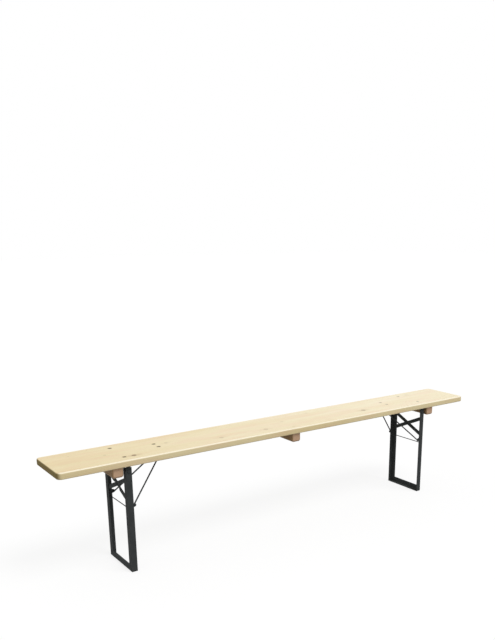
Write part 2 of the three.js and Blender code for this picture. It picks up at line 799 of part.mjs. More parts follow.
function addLegSet(name, turn) {
  const set = new THREE.Group();
  set.rotation.z = turn;
  group.add(set);
  const steel = finishes.painted;
  for (const [end, side] of [['front', -1], ['back', 1]]) {
    const place = name === 'left' ? { front: 'back', back: 'front' }[end] : end;
    add(set, `${name}_upright_${place}`, makeUpright(side), steel);
    add(set, `${name}_stay_lug_${place}`, makeLug(side), steel);
    const grip = angleThickness + bracketSideGap + bracketThickness + 2 * runningGap;
    const pin = domedRivet(pinDiameter, pinHeadDiameter, pinHeadHeight, grip).rotateX(Math.PI / 2);
    const pinY = side * (legHalf + runningGap - grip / 2);
    add(set, `${name}_hinge_pin_${place}`, pin, steel).position.set(pivotX, pinY, pivotZ);
    addBolt(set, `${name}_bracket`, place, pivotX, side * bracketBoltY, bracketThickness);
    addBolt(set, `${name}_guide`, place, noseX, side * guideBoltY, guideSheet);
  }
  add(set, `${name}_hinge_bracket`, makeBracket(), steel);
  add(set, `${name}_foot_bar`, makeFootBar(), steel);
  add(set, `${name}_brace_flat`, makeFlatBrace(), steel);
  add(set, `${name}_brace_cranked`, makeCrankedBrace(), steel);
  const braceGrip = 2 * braceThickness + 2 * runningGap;
  const rivet = domedRivet(rivetDiameter, rivetHeadDiameter, rivetHeadHeight, braceGrip);
  rivet.rotateY(Math.PI / 2);
  add(set, `${name}_brace_rivet`, rivet, steel).position.set(braceX - braceThickness, 0, braceZ);
  const tieEnd = legHalf - angleThickness;
  const tie = rodY(tieWireDiameter, legFace - tieWireInset, underside - tieWireDrop, -tieEnd, tieEnd);
  add(set, `${name}_tie_wire`, tie, steel);
  add(set, `${name}_wire_stay`, makeStay(), steel);
  add(set, `${name}_stay_guide`, makeGuide(), finishes.zinc);
  add(set, `${name}_catch_leaf`, makeLeaf(), finishes.spring);
  add(set, `${name}_catch_rivet`, makeLeafRivet(), finishes.zinc).position.set(leafPivotX, 0, leafTop);
  const guideScrew = add(set, `${name}_guide_screw`, screw(fittingScrew), finishes.zinc);
  guideScrew.position.set(guideScrewX, 0, underside - guideSheet);
}

addLegSet('right', 0);
addLegSet('left', Math.PI);

export default group;
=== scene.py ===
"""A folding beer-garden bench, dressed for its photograph.

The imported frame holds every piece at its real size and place. Here the wood gets its growth rings,
knots and varnish, the battens a wider bevel at their ends, the steel its paint, weld beads and wear,
and the wires, rivets, bolts and screws their round forms. Everything is in metres in the frame of the
part: +X along the board, -Y to the front, +Z up, with the origin on the floor under the middle of the
board.
"""
import json
import math

import bmesh
import bpy
import numpy as np
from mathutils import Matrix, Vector

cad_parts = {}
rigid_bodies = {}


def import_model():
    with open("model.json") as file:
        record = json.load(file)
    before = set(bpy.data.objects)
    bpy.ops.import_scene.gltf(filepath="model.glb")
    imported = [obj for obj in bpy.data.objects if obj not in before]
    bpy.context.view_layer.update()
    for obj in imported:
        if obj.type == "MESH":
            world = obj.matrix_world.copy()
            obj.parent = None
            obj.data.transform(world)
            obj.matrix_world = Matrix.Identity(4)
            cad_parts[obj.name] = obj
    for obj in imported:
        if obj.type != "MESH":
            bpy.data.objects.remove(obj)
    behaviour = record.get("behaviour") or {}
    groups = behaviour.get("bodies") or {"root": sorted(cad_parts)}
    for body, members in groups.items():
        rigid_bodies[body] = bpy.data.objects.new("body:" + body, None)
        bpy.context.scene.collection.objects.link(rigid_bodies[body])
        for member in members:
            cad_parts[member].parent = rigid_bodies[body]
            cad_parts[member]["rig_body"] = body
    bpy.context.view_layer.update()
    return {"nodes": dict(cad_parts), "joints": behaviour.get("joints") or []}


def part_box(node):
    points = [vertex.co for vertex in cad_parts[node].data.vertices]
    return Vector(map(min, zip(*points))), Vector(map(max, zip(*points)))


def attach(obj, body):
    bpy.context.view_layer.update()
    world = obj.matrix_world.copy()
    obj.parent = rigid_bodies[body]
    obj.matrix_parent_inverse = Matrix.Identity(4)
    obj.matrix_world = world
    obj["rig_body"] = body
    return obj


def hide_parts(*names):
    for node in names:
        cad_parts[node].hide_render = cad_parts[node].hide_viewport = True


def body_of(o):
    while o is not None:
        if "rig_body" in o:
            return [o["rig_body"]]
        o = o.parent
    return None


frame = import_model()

MM = 0.001
SIDES = {"right": 1.0, "left": -1.0}
ENDS = ("front", "back")
PLACES = ("left", "middle", "right")
joints = {joint["name"]: joint for joint in frame["joints"]}


def middle_of(node):
    """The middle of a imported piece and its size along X, Y and Z."""
    low, high = (np.array(corner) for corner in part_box(node))
    return (low + high) / 2, high - low


# Meshes

MEET = 0.002 * MM
MEET_PACKED = 0.005 * MM
STILL_FLAT = math.radians(0.4)


def grid_faces(rows, columns):
    """The quads between neighbouring rows of a grid of points, as (n, 4) indices. The rows follow each
    other along the shape, and each row runs round it and closes on itself."""
    row = np.arange(rows - 1)[:, None] * columns
    column = np.arange(columns)[None, :]
    following = (column + 1) % columns
    corners = [row + column, row + following, row + columns + following, row + columns + column]
    return np.stack(corners, -1).reshape(-1, 4)


def welded(mesh, distance=MEET):
    """Merges the points that meet, drops the faces that vanish and turns every face outwards."""
    work = bmesh.new()
    work.from_mesh(mesh)
    bmesh.ops.remove_doubles(work, verts=work.verts, dist=distance)
    bmesh.ops.dissolve_degenerate(work, edges=work.edges, dist=distance)
    bmesh.ops.recalc_face_normals(work, faces=work.faces)
    work.to_mesh(mesh)
    work.free()


def dress(name, mesh, body, finish, replaces=(), crease=40.0):
    """Makes the object of a mesh: smooth up to the crease angle, in its finish, on its body."""
    material, slot = finish
    mesh.polygons.foreach_set("use_smooth", np.ones(len(mesh.polygons), bool))
    mesh.set_sharp_from_angle(angle=math.radians(crease))
    mesh.materials.clear()
    mesh.materials.append(material)
    piece = bpy.data.objects.new(name, mesh)
    bpy.context.scene.collection.objects.link(piece)
    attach(piece, body)
    if replaces:
        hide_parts(*replaces)
    return piece


def surface(name, grids, body, finish, replaces=(), crease=40.0):
    """One piece from several grids of points."""
    points, faces, start = [], [], 0
    for grid in grids:
        rows, columns = grid.shape[:2]
        points.append(grid.reshape(-1, 3))
        faces.append(grid_faces(rows, columns) + start)
        start += rows * columns
    mesh = bpy.data.meshes.new(name)
    mesh.from_pydata(np.vstack(points), [], np.vstack(faces))
    welded(mesh)
    return dress(name, mesh, body, finish, replaces, crease)


def finished_copy(node, finish, edge=0.0, crease=40.0, reshape=None):
    """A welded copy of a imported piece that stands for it, with its sharp edges broken by a small radius
    and, if asked, its points moved by the given function of the mesh, its middle and its size."""
    source = frame["nodes"][node]
    mesh = source.data.copy()
    welded(mesh, MEET_PACKED)
    if reshape:
        reshape(mesh, *middle_of(node))
    work = bmesh.new()
    work.from_mesh(mesh)
    bmesh.ops.dissolve_limit(work, angle_limit=STILL_FLAT, verts=work.verts, edges=work.edges)
    work.to_mesh(mesh)
    work.free()
    mesh.name = node + "_finished"
    piece = dress(mesh.name, mesh, body_of(source)[0], finish, (node,), crease)
    if edge:
        bevel = piece.modifiers.new("Broken edges", "BEVEL")
        bevel.width = edge
        bevel.segments = 2
        bevel.limit_method = "ANGLE"
        bevel.angle_limit = math.radians(crease)
        bevel.harden_normals = True
    weighted = piece.modifiers.new("Flat faces stay flat", "WEIGHTED_NORMAL")
    weighted.keep_sharp = True
    return piece


# Node trees

class Nodes:
    """A node tree: each call adds one node and gives back the socket of its result."""

    def __init__(self, owner):
        owner.use_nodes = True
        self.owner = owner
        self.tree = owner.node_tree
        self.tree.nodes.clear()

    def add(self, kind, inputs=(), **settings):
        """A node with these settings; each input is set to a value or linked from a socket."""
        node = self.tree.nodes.new(kind)
        for key, value in settings.items():
            setattr(node, key, value)
        for key, value in dict(inputs).items():
            if isinstance(value, bpy.types.NodeSocket):
                self.tree.links.new(value, node.inputs[key])
            else:
                node.inputs[key].default_value = value
        return node

    def place(self):
        """The place on the piece in its own axes, which are those of the bench."""
        return self.add("ShaderNodeTexCoord").outputs["Object"]

    def facing(self):
        """The way the surface faces, in the same axes."""
        return self.add("ShaderNodeTexCoord").outputs["Normal"]

    def split(self, vector):
        """The X, Y and Z of a vector."""
        outputs = self.add("ShaderNodeSeparateXYZ", {0: vector}).outputs
        return outputs[0], outputs[1], outputs[2]

    def vector(self, x, y, z):
        """The vector of an X, a Y and a Z."""
        return self.add("ShaderNodeCombineXYZ", {0: x, 1: y, 2: z}).outputs[0]

    def math(self, operation, a, b=0.0, c=0.0):
        """One operation of the math node."""
        return self.add("ShaderNodeMath", {0: a, 1: b, 2: c}, operation=operation).outputs[0]

    def fold(self, operation, terms):
        """One operation from term to term."""
        result = terms[0]
        for term in terms[1:]:
            result = self.math(operation, result, term)
        return result

    def total(self, *terms):
        return self.fold("ADD", terms)

    def times(self, value, factor):
        return self.math("MULTIPLY", value, factor)

    def far(self, a, b):
        """The distance from the origin of a place with these two coordinates."""
        return self.math("SQRT", self.math("MULTIPLY_ADD", a, a, self.times(b, b)))

    def noise(self, place, waves, detail=2.0, roughness=0.5):
        """Perlin noise from 0 to 1 with its middle at 0.5, with these waves per metre along X, Y and Z."""
        scaled = self.add("ShaderNodeVectorMath", {0: place, 1: waves}, operation="MULTIPLY").outputs[0]
        inputs = {"Vector": scaled, "Scale": 1.0, "Detail": detail, "Roughness": roughness}
        return self.add("ShaderNodeTexNoise", inputs).outputs["Fac"]

    def spread(self, value, low, high, to_low=0.0, to_high=1.0, smooth=False):
        """Maps low..high to to_low..to_high and stops at both ends."""
        inputs = {0: value, 1: low, 2: high, 3: to_low, 4: to_high}
        kind = "SMOOTHSTEP" if smooth else "LINEAR"
        return self.add("ShaderNodeMapRange", inputs, interpolation_type=kind, clamp=True).outputs[0]

    def ramp(self, value, stops):
        """A level from 0 to 1 that runs straight from stop to stop, each a position and its level."""
        node = self.add("ShaderNodeValToRGB", {0: value})
        elements = node.color_ramp.elements
        while len(elements) < len(stops):
            elements.new(0.5)
        for element, (position, level) in zip(elements, stops):
            element.position = position
            element.color = (level, level, level, 1.0)
        return node.outputs[0]

    def mix(self, factor, a, b, blend="MIX"):
        """Two colours mixed. Inputs 0, 6 and 7 of the node are its factor and colours, output 2 its
        result."""
        node = self.add("ShaderNodeMix", data_type="RGBA", blend_type=blend, clamp_factor=True)
        for key, value in ((0, factor), (6, a), (7, b)):
            socket = node.inputs[key]
            if isinstance(value, bpy.types.NodeSocket):
                self.tree.links.new(value, socket)
            else:
                socket.default_value = (*value, 1.0) if key else value
        return node.outputs[2]

    def bump(self, height, depth):
        """A normal from a height of 0 to 1 that stands for a relief of the depth in metres."""
        inputs = {"Height": height, "Distance": depth, "Strength": 1.0}
        return self.add("ShaderNodeBump", inputs).outputs[0]

    def finish(self, **inputs):
        """The surface itself; names use _ for the blanks in the shader's own."""
        named = {key.replace("_", " "): value for key, value in inputs.items()}
        shader = self.add("ShaderNodeBsdfPrincipled", named)
        self.add("ShaderNodeOutputMaterial", {0: shader.outputs[0]})
        return self.owner


def material(name):
    """The empty node tree of a new material."""
    return Nodes(bpy.data.materials.new(name))


def even(waves):
    """The same number of waves per metre along X, Y and Z."""
    return (waves, waves, waves)


# Wood

KNOTS = [
    # x and y on the board's top and the branch's radius, in mm, with how dark it is
    (-773, -75, 9.0, 0.95), (460, -48, 11.0, 0.5), (-130, -59, 10.0, 0.3), (-360, -58, 9.0, 0.28),
    (-591, 8, 7.0, 0.22), (-868, -8, 6.0, 0.2), (5, 8, 7.0, 0.16), (-4, -99, 7.0, 0.18),
    (878, 72, 14.0, 0.12), (-990, 62, 4.0, 0.15), (196, 71, 6.0, 0.15), (-230, 88, 4.0, 0.12),
]
KNOT_LEAN = 0.35  # how far a branch leans along the board for each step down
KNOT_STRETCH = 0.42  # the width of a knot's surroundings as a share of their length
KNOT_PULL = 0.72  # how far a knot draws the years aside at its middle
KNOT_REACH = 5.0  # how many times its radius this reaches
KNOT_RIM = (0.9, 1.15)  # where a knot fades, in its radii
HALO_RIM = (0.9, 2.0)  # where the darker wood round it fades
HALO_SHARE = 0.5  # how dark that wood is, as a share of the knot's darkness
HEART_YEARS = 3.4  # years in a branch
BARK_AT = 0.98  # its bark's place and width, in its radii
BARK_WIDTH = 0.16

YEARS_WANDER = 46 * MM  # the most that the years stray from side to side
YEARS_DRIFT = 2.2  # the most years by which uneven growth moves them on
LATE_WOOD = [(0.0, 0.0), (0.45, 0.08), (0.78, 0.55), (0.93, 1.0), (1.0, 0.0)]
FLAT_YEARS = (5 * MM, 45 * MM)

BOARD_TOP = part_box("seat_board")[1].z
BOARD_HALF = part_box("seat_board")[1].y
PAINTED_LIGHT_SPAN = (-1.0, 0.6)  # places along the board between which its top is painted paler, as painted light
FAINTER_SPAN = (-0.2, 0.5)  # places along the board between which the bolt heads and the painted shade rings round them get fainter
RING_SHARE_AT_RIGHT = 0.3  # the share of a ring's painted shade that is left there
SHADE_RING = (7.5 * MM, 11 * MM)  # distances from a bolt's axis between which the painted shade of the gap round its head fades
EDGE_HIGHLIGHT_BAND = (12 * MM, 6 * MM)  # distances from the board's sides between which the painted highlight on its rounded top edges fades in

FIBRE_TINT = (0.94, 0.925, 0.9)
STREAK_TINT = (0.965, 0.93, 0.86)
BLUSH_TINT = (1.0, 0.945, 0.965)
# the painted shade of the gap round each bolt head
BOLT_RING_SHADE = (0.60, 0.54, 0.42)
BOARD_EARLY = ((0.80, 0.69, 0.425), (0.905, 0.83, 0.615))  # at the left-hand end, and paler for the painted light at the right-hand end
BOARD_LATE = ((0.70, 0.57, 0.31), (0.82, 0.725, 0.485))
# the painted highlight on the rounded top edges
BOARD_EDGE_HIGHLIGHT = (0.93, 0.86, 0.68)
# the end grain's own darkening, deepened by painted shade
BOARD_END_GRAIN_AND_SHADE = (0.30, 0.27, 0.15)
HALO = (0.54, 0.40, 0.21)
HEART = ((0.36, 0.22, 0.10), (0.18, 0.11, 0.05))  # the branch's early and late wood
BARK = (0.10, 0.06, 0.03)
BATTEN_EARLY = (0.345, 0.218, 0.108)
BATTEN_LATE = (0.217, 0.121, 0.052)
# multiplies the ends far paler than the sides: painted light on the ends, painted shade on the sides
BATTEN_END_LIGHT = (1.68, 1.775, 2.38)


def round_knots(tree, along, across, up):
    """Where the rings run once the knots have bowed them aside, the distance to the nearest knot, which
    is 1 at its rim, and how dark the knots and the wood round them are."""
    drawn = across
    rims, cores, halos = [], [], []
    for x, y, radius, darkness in KNOTS:
        lean = tree.times(tree.math("SUBTRACT", up, BOARD_TOP), KNOT_LEAN)
        dx = tree.total(along, lean, -x * MM)
        dy = tree.math("SUBTRACT", across, y * MM)
        reach = tree.far(dy, tree.times(dx, KNOT_STRETCH))
        pull = tree.spread(reach, 0.0, KNOT_REACH * radius * MM, KNOT_PULL, 0.0, smooth=True)
        drawn = tree.math("SUBTRACT", drawn, tree.times(pull, dy))
        rim = tree.times(tree.far(dx, dy), 1 / (radius * MM))
        rims.append(rim)
        cores.append(tree.spread(rim, *KNOT_RIM, darkness, 0.0, smooth=True))
        inner, outer = (share * radius * MM for share in HALO_RIM)
        halos.append(tree.spread(reach, inner, outer, HALO_SHARE * darkness, 0.0, smooth=True))
    return drawn, tree.fold("MINIMUM", rims), tree.fold("MAXIMUM", cores), tree.fold("MAXIMUM", halos)


def round_bolts(tree, along, across):
    """The distance to the nearest bolt; they stand alike in all four quarters of the board."""
    along, across = tree.math("ABSOLUTE", along), tree.math("ABSOLUTE", across)
    distances = []
    for node in ("right_bracket_bolt_back", "right_guide_bolt_back"):
        place, _ = middle_of(node)
        distances.append(tree.far(tree.total(along, -place[0]), tree.total(across, -place[1])))
    return tree.math("MINIMUM", *distances)


def growth(tree, grain, across, up, pith, ring):
    """How far a place is into the dark late wood of its year, from 0 to 1. The years are cylinders of
    the ring's thickness round the pith, so they run as long flames on the flat faces and as arcs on the
    ends. They wander, some are wider, and they are calmer straight over the pith, where they lie flat."""
    wander = tree.times(tree.math("SUBTRACT", tree.noise(grain, (1.3, 5.0, 1.0)), 0.5), YEARS_WANDER)
    side = tree.total(across, wander, -pith[0])
    years = tree.times(tree.far(side, tree.math("SUBTRACT", up, pith[1])), 1 / ring)
    uneven = tree.noise(tree.vector(years, 0.0, 0.0), (0.31, 0.0, 0.0), 1.0)
    season = tree.math("FRACT", tree.total(years, tree.times(uneven, YEARS_DRIFT)))
    late = tree.ramp(season, LATE_WOOD)
    return tree.times(late, tree.spread(tree.math("ABSOLUTE", side), *FLAT_YEARS, 0.3, 1.0, smooth=True))


def timber(tree, grain, late, early_color, late_color):
    """The colour and the relief of the wood between its knots: its years, the fibres that run along it
    and broad streaks of warmer wood."""
    fibre = tree.noise(grain, (14.0, 900.0, 900.0), 3.0, 0.6)
    streak = tree.noise(grain, (2.2, 26.0, 1.0), 3.0, 0.55)
    darkened = tree.times(late, tree.spread(streak, 0.3, 0.7, 0.45, 1.0))
    color = tree.mix(darkened, early_color, late_color)
    color = tree.mix(tree.spread(fibre, 0.35, 0.75), color, FIBRE_TINT, "MULTIPLY")
    color = tree.mix(tree.spread(streak, 0.35, 0.72), color, STREAK_TINT, "MULTIPLY")
    relief = tree.math("SUBTRACT", tree.times(fibre, 0.35), tree.times(late, 0.6))
    return color, relief, fibre


def board_wood():
    """Spruce under clear varnish, sawn from beside the pith, with pinker patches. Its top is painted a
    little paler towards the right-hand end as painted light, and paler along both sides as a painted
    highlight on the rounded edges. A darker ring round each bolt head, fainter towards the right-hand
    end, is painted shade for the gap round the head. The end grain has drunk the varnish and gone matt,
    and its darkness is partly its own and partly painted shade."""
    tree = material("board_wood")
    grain = tree.place()
    along, across, up = tree.split(grain)
    drawn, rim, core, halo = round_knots(tree, along, across, up)
    late = growth(tree, grain, drawn, up, pith=(28 * MM, 385 * MM), ring=3.1 * MM)
    end, _, rise = tree.split(tree.facing())
    # the top is painted paler towards the right-hand end: painted light
    facing_up = tree.spread(rise, 0.3, 0.7)
    paler = tree.times(tree.spread(along, *PAINTED_LIGHT_SPAN), facing_up)
    early_color, late_color = tree.mix(paler, *BOARD_EARLY), tree.mix(paler, *BOARD_LATE)
    color, relief, fibre = timber(tree, grain, late, early_color, late_color)
    blush = tree.spread(tree.noise(grain, (6.0, 30.0, 45.0)), 0.46, 0.62)
    color = tree.mix(blush, color, BLUSH_TINT, "MULTIPLY")
    color = tree.mix(halo, color, HALO)
    heart = tree.math("FRACT", tree.times(rim, HEART_YEARS))
    knot = tree.mix(tree.spread(heart, 0.0, 1.0, 0.15, 0.75), *HEART)
    color = tree.mix(core, color, knot)
    from_bark = tree.math("ABSOLUTE", tree.total(rim, -BARK_AT))
    bark = tree.spread(from_bark, 0.0, BARK_WIDTH, 0.75, 0.0, smooth=True)
    color = tree.mix(tree.times(bark, core), color, BARK)
    # a darker ring round each bolt head: painted shade for the gap round the head, fainter to the right
    bolt_shade = tree.spread(round_bolts(tree, along, across), *SHADE_RING, 0.85, 0.0, smooth=True)
    bolt_shade = tree.times(bolt_shade, tree.spread(along, *FAINTER_SPAN, 1.0, RING_SHARE_AT_RIGHT))
    color = tree.mix(bolt_shade, color, BOLT_RING_SHADE, "MULTIPLY")
    # a painted highlight along both top edges, on the outer strip of the top and the upper part of the
    # rounding
    outer = tree.spread(tree.math("ABSOLUTE", across), BOARD_HALF - EDGE_HIGHLIGHT_BAND[0], BOARD_HALF - EDGE_HIGHLIGHT_BAND[1])
    eased = tree.times(outer, tree.spread(rise, 0.2, 0.6, 0.0, 0.8, smooth=True))
    color = tree.mix(eased, color, BOARD_EDGE_HIGHLIGHT)
    # the ends are darker: partly the end grain's own colour, partly painted shade
    sawn = tree.spread(tree.math("ABSOLUTE", end), 0.25, 1.0, smooth=True)
    color = tree.mix(sawn, color, BOARD_END_GRAIN_AND_SHADE, "MULTIPLY")
    rough = tree.math("MAXIMUM", tree.spread(fibre, 0.2, 0.8, 0.42, 0.52), sawn)
    return tree.finish(
        Base_Color=color, Roughness=rough, IOR=1.5, Normal=tree.bump(relief, 0.05 * MM),
        Specular_IOR_Level=0.35, Coat_Weight=0.06, Coat_Roughness=0.3)


def batten_wood():
    """The brown softwood of the battens, cut across the bench, each from another stretch of the same
    bar; its ends are painted much paler and pinker than its sides, as painted light on the ends and
    painted shade on the sides, and show the rings."""
    tree = material("batten_wood")
    x, y, z = tree.split(tree.place())
    low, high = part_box("batten_right")
    spacing = low.x / 2 + high.x / 2
    bar = tree.math("ROUND", tree.times(x, 1 / spacing))
    across = tree.math("SUBTRACT", x, tree.times(bar, spacing))
    grain = tree.vector(tree.total(y, tree.times(bar, 3.7)), across, z)
    late = growth(tree, grain, across, z, pith=(-14 * MM, 398 * MM), ring=2.6 * MM)
    color, relief, fibre = timber(tree, grain, late, BATTEN_EARLY, BATTEN_LATE)
    _, end, _ = tree.split(tree.facing())
    # the ends are painted paler than the sides: painted light and painted shade
    sawn = tree.spread(tree.math("ABSOLUTE", end), 0.6, 0.97, smooth=True)
    color = tree.mix(sawn, color, BATTEN_END_LIGHT, "MULTIPLY")
    return tree.finish(
        Base_Color=color, Roughness=tree.spread(fibre, 0.2, 0.8, 0.5, 0.6), IOR=1.5,
        Normal=tree.bump(relief, 0.08 * MM), Specular_IOR_Level=0.2)


# Metals

LEG_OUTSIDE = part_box("right_upright_front")[1].x
LEG_HALF = -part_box("right_upright_front")[0].y
RUBBED = 1.5 * MM  # the paint is rubbed this far from an outer corner
RUBBED_FULLY = 0.3  # and fully within this share of it
SCUFFED = 7 * MM  # height above the floor

# Each pair is the two colours between which the surface is mottled
PAINT_COLORS = ((0.043, 0.047, 0.047), (0.057, 0.062, 0.062))
PAINT_WORN = (0.09, 0.087, 0.08)
ZINC_COLORS = ((0.42, 0.42, 0.39), (0.56, 0.565, 0.55))
ZINC_YELLOW = (0.46, 0.41, 0.30)
BROWN_ZINC_COLORS = ((0.15, 0.125, 0.085), (0.25, 0.22, 0.16))
PALE_ZINC_COLORS = ((0.52, 0.49, 0.40), (0.66, 0.63, 0.54))
SPRING_COLORS = ((0.13, 0.14, 0.165), (0.22, 0.23, 0.255))


def painted_steel():
    """Anthracite enamel over hot-rolled angle: a faint orange peel, scuffed where it meets the floor and
    rubbed along the outer corners of the uprights."""
    tree = material("painted_steel")
    place = tree.place()
    along, across, height = tree.split(place)
    peel = tree.noise(place, even(900.0))
    cloud = tree.noise(place, even(26.0), 3.0)
    scratch = tree.noise(place, (420.0, 35.0, 160.0), 4.0, 0.7)
    corner = []
    for value, outside in ((along, LEG_OUTSIDE), (across, LEG_HALF)):
        start, full = outside - RUBBED, outside - RUBBED_FULLY * RUBBED
        corner.append(tree.spread(tree.math("ABSOLUTE", value), start, full))
    floor = tree.spread(height, 0.0, SCUFFED, 1.0, 0.0)
    rubbed = tree.math("MAXIMUM", floor, tree.times(*corner))
    worn = tree.times(rubbed, tree.spread(scratch, 0.5, 0.62, smooth=True))
    color = tree.mix(tree.spread(cloud, 0.3, 0.7), *PAINT_COLORS)
    color = tree.mix(worn, color, PAINT_WORN)
    rough = tree.total(tree.spread(cloud, 0.3, 0.7, 0.52, 0.62), tree.times(worn, 0.2))
    relief = tree.math("SUBTRACT", tree.times(peel, 0.5), tree.times(worn, 0.5))
    return tree.finish(
        Base_Color=color, Roughness=rough, Normal=tree.bump(relief, 0.06 * MM), IOR=1.5,
        Specular_IOR_Level=0.04)


def zinc_steel():
    """Dull zinc plating, a little yellow, with fine mottling."""
    tree = material("zinc_steel")
    place = tree.place()
    mottle = tree.noise(place, even(260.0), 3.0, 0.6)
    cloud = tree.noise(place, even(40.0))
    color = tree.mix(tree.spread(mottle, 0.3, 0.7), *ZINC_COLORS)
    color = tree.mix(tree.spread(cloud, 0.45, 0.75, 0.0, 0.4), color, ZINC_YELLOW)
    return tree.finish(
        Base_Color=color, Metallic=1.0, Roughness=tree.spread(mottle, 0.3, 0.7, 0.34, 0.5),
        Normal=tree.bump(mottle, 0.02 * MM))


def dulled_zinc():
    """The bolt heads in the top: yellow zinc gone brown and matt from use, and paler towards the right-hand
    end.
    """
    tree = material("dulled_zinc")
    place = tree.place()
    along, _, _ = tree.split(place)
    mottle = tree.noise(place, even(420.0), 3.0, 0.6)
    worn = tree.spread(mottle, 0.3, 0.7)
    brown = tree.mix(worn, *BROWN_ZINC_COLORS)
    paler_heads = tree.mix(worn, *PALE_ZINC_COLORS)
    return tree.finish(
        Base_Color=tree.mix(tree.spread(along, *FAINTER_SPAN), brown, paler_heads), Metallic=0.9,
        Roughness=tree.spread(mottle, 0.3, 0.7, 0.5, 0.65), Normal=tree.bump(mottle, 0.03 * MM))


def spring_steel():
    """Blued spring strip with the faint lines of rolling along it."""
    tree = material("spring_steel")
    lines = tree.noise(tree.place(), (30.0, 1400.0, 60.0))
    color = tree.mix(tree.spread(lines, 0.3, 0.7), *SPRING_COLORS)
    return tree.finish(
        Base_Color=color, Metallic=1.0, Roughness=tree.spread(lines, 0.3, 0.7, 0.26, 0.38),
        Normal=tree.bump(lines, 0.01 * MM))


BOARD = (board_wood(), "board_wood")
BATTEN = (batten_wood(), "batten_wood")
PAINT = (painted_steel(), "painted_steel")
ZINC = (zinc_steel(), "zinc_steel")
BOLT = (dulled_zinc(), "zinc_steel")
SPRING = (spring_steel(), "spring_steel")


# Shapes

def frame_of(direction):
    """The direction at length 1 and two more, square to it and to each other, by cross products."""
    direction = np.asarray(direction, float) / np.linalg.norm(direction)
    helper = np.array([0.0, 0.0, 1.0]) if abs(direction[2]) < 0.9 else np.array([1.0, 0.0, 0.0])
    across = np.cross(helper, direction)
    across /= np.linalg.norm(across)
    return direction, across, np.cross(direction, across)


def turned(profile, origin, direction, columns=32, relief=None):
    """A turned shape: each (radius, height) of the profile is a circle round the axis at that height.
    The relief, if given, adds to each radius, from its radius, height and angle."""
    radius, height = (column[:, None] for column in np.asarray(profile, float).T)
    axis, across, up = frame_of(direction)
    angle = np.arange(columns)[None] * 2 * np.pi / columns
    if relief:
        radius = radius + relief(radius, height, angle)
    spokes = np.cos(angle)[..., None] * across + np.sin(angle)[..., None] * up
    return np.asarray(origin) + height[..., None] * axis + radius[..., None] * spokes


def dome(radius, height, base, steps=6):
    """A dome's profile from its top on the axis down to its rim at the base: an elliptical quarter."""
    angle = np.linspace(np.pi / 2, 0, steps + 1)[1:]
    return [(0.0, base + height)] + [(radius * math.cos(a), base + height * math.sin(a)) for a in angle]


def wire(path, radius, normal, columns=20):
    """A round wire that lies in a plane: at each station of the path a circle of that station's radius,
    spanned by the plane's normal and the line square to it and to the path."""
    along = np.gradient(path, axis=0)
    along /= np.linalg.norm(along, axis=1, keepdims=True)
    across = np.cross(along, normal)
    angle = np.arange(columns) * 2 * np.pi / columns
    cosine, sine = np.cos(angle)[None, :, None], np.sin(angle)[None, :, None]
    circle = cosine * across[:, None] + sine * np.asarray(normal)
    return path[:, None] + np.asarray(radius)[:, None, None] * circle


def rounded_route(corners, radii, steps=10):
    """The path through the corners, each inner one rounded by an arc of its own radius. The arc's middle
    lies on the bisector of the corner, at the radius over the cosine of half the turn."""
    path = [corners[0]]
    for before, corner, after, radius in zip(corners, corners[1:], corners[2:], radii):
        into = (corner - before) / np.linalg.norm(corner - before)
        out = (after - corner) / np.linalg.norm(after - corner)
        turn = math.acos(float(into @ out))
        middle = corner + (out - into) / np.linalg.norm(out - into) * radius / math.cos(turn / 2)
        start = corner - into * radius * math.tan(turn / 2) - middle
        side = into * radius
        angle = np.linspace(0, turn, steps + 1)[:, None]
        path.extend(middle + np.cos(angle) * start + np.sin(angle) * side)
    path.append(corners[-1])
    return np.array(path)


# The wood, and the sheet metal and bars

BATTEN_BEVEL = 1.2 * MM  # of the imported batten
BATTEN_CHAMFER = 4 * MM
BATTEN_CHAMFER_BELOW = 6 * MM
SAME_PLANE = 0.01 * MM
STRIP_EDGE = 0.2 * MM
SHEET_EDGE = 0.3 * MM
BAR_EDGE = 0.4 * MM
NUT_EDGE = 0.15 * MM


def chamfer_ends(mesh, middle, size):
    """Widens the bevel at both ends of a batten: the points of the end faces move in from the sides and
    more so from below, in proportion, and those of the rims round them move back along the batten."""
    points = np.empty(3 * len(mesh.vertices))
    mesh.vertices.foreach_get("co", points)
    x, y, z = points[0::3], points[1::3], points[2::3]
    end = size[1] / 2
    face = np.abs(y) > end - SAME_PLANE
    rim = (np.abs(y) > end - BATTEN_BEVEL - SAME_PLANE) & ~face
    narrower = (size[0] / 2 - BATTEN_CHAMFER) / (size[0] / 2 - BATTEN_BEVEL)
    lower = (size[2] - BATTEN_BEVEL - BATTEN_CHAMFER_BELOW) / (size[2] - 2 * BATTEN_BEVEL)
    top = middle[2] + size[2] / 2 - BATTEN_BEVEL
    x[face] = middle[0] + (x[face] - middle[0]) * narrower
    z[face] = top + (z[face] - top) * lower
    y[rim] = np.sign(y[rim]) * (end - BATTEN_CHAMFER)
    mesh.vertices.foreach_set("co", points)


